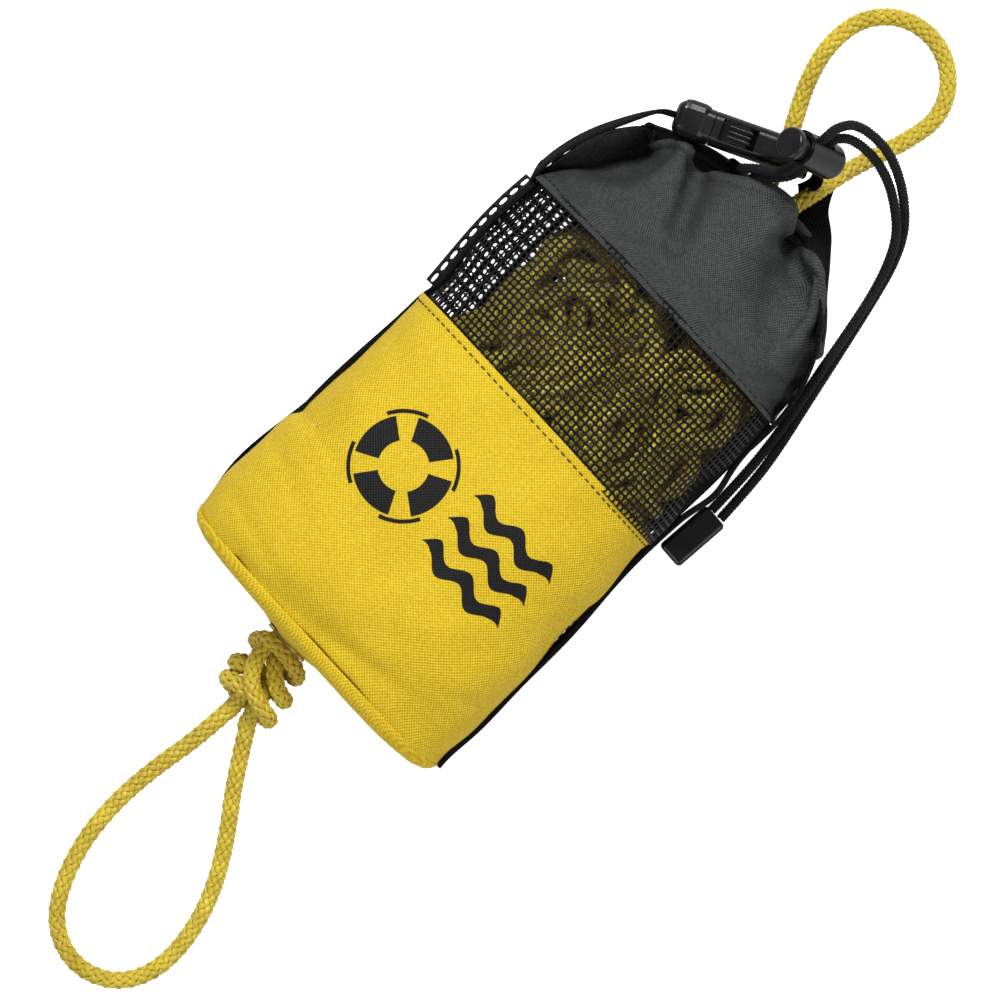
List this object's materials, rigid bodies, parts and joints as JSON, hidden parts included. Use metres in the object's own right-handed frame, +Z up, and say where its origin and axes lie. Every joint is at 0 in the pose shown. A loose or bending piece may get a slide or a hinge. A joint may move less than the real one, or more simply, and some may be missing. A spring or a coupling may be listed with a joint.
{
  "type": "throw rope bag",
  "caption": "Compact water rescue throw bag: a soft mesh and cloth bag stuffed with floating rope, with rope loops at both ends, a buckled bail strap and a locking drawcord mouth.",
  "frame": {"origin": "on the surface the back rests on, under the middle of the bag without its free cords", "axes": "+Y from the bag's bottom to its mouth, +X the bag's right side seen from the front, +Z up out of the front panel"},
  "size_m": [0.1341, 0.4324, 0.0723],
  "materials": {
    "yellow_cloth": "coarse coated plain weave",
    "black_mesh": "coated open mesh",
    "grey_cloth": "fine plain weave, matt",
    "black_tape": "woven tape",
    "webbing": "woven webbing",
    "rope": "diamond braid",
    "drawcord": "round braid",
    "black_plastic": "moulded, slightly glossy",
    "foam": "closed-cell foam",
    "spring_steel": "drawn wire",
    "eyelet_brass": "plated"
  },
  "bodies": {
    "bag": {"front_panel": "yellow_cloth", "bottom_panel": "yellow_cloth", "mesh_window": "black_mesh", "back_panel": "black_mesh", "collar_front": "grey_cloth", "collar_back": "grey_cloth", "hem_front": "grey_cloth", "hem_back": "grey_cloth", "binding_left": "black_tape", "binding_right": "black_tape", "foam_float": "foam", "float_divider": "grey_cloth", "bottom_eyelet": "eyelet_brass", "eyelet_washer": "eyelet_brass", "rope_stuffed": "rope", "rope_through_float": "rope", "rope_bottom_knot": "rope", "rope_bottom_loop": "rope", "rope_top_knot": "rope", "rope_top_loop": "rope", "drawcord_in_hem": "drawcord", "drawcord_strand_a": "drawcord", "drawcord_strand_b": "drawcord", "cord_end_body": "black_plastic", "cord_end_clamp": "black_plastic", "buckle_socket": "black_plastic", "strap_left": "webbing", "strap_right": "webbing"},
    "buckle_plug": {"buckle_plug": "black_plastic"},
    "snap_arm_upper": {"snap_arm_upper": "black_plastic"},
    "snap_arm_lower": {"snap_arm_lower": "black_plastic"},
    "cord_lock": {"cord_lock_barrel": "black_plastic", "cord_lock_spring": "spring_steel"},
    "cord_lock_plunger": {"cord_lock_plunger": "black_plastic"}
  },
  "joints": [
    {"name": "buckle_release", "type": "slide", "parent": "bag", "child": "buckle_plug", "axis": [-0.9063, -0.4226, 0], "range_m": [0, 0.024], "deforming": ["strap_left", "snap_arm_upper", "snap_arm_lower"]},
    {"name": "snap_arm_upper_pinch", "type": "hinge", "parent": "buckle_plug", "child": "snap_arm_upper", "pos_m": [-0.02446, 0.10386, 0.033], "axis": [-0.4226, 0.9063, 0], "range_deg": [0, 7], "stiffness_Nm_per_rad": 0.15},
    {"name": "snap_arm_lower_pinch", "type": "hinge", "parent": "buckle_plug", "child": "snap_arm_lower", "pos_m": [-0.02446, 0.10386, 0.019], "axis": [0.4226, -0.9063, 0], "range_deg": [0, 7], "stiffness_Nm_per_rad": 0.15},
    {"name": "cord_lock_slide", "type": "slide", "parent": "bag", "child": "cord_lock", "axis": [0.05, 0.9277, 0.3701], "range_m": [0, 0.008], "deforming": ["drawcord_strand_a", "drawcord_strand_b"]},
    {"name": "cord_lock_press", "type": "slide", "parent": "cord_lock", "child": "cord_lock_plunger", "axis": [0.598, 0.269, -0.755], "range_m": [0, 0.004], "stiffness_N_per_m": 300, "deforming": ["cord_lock_spring"]}
  ]
}
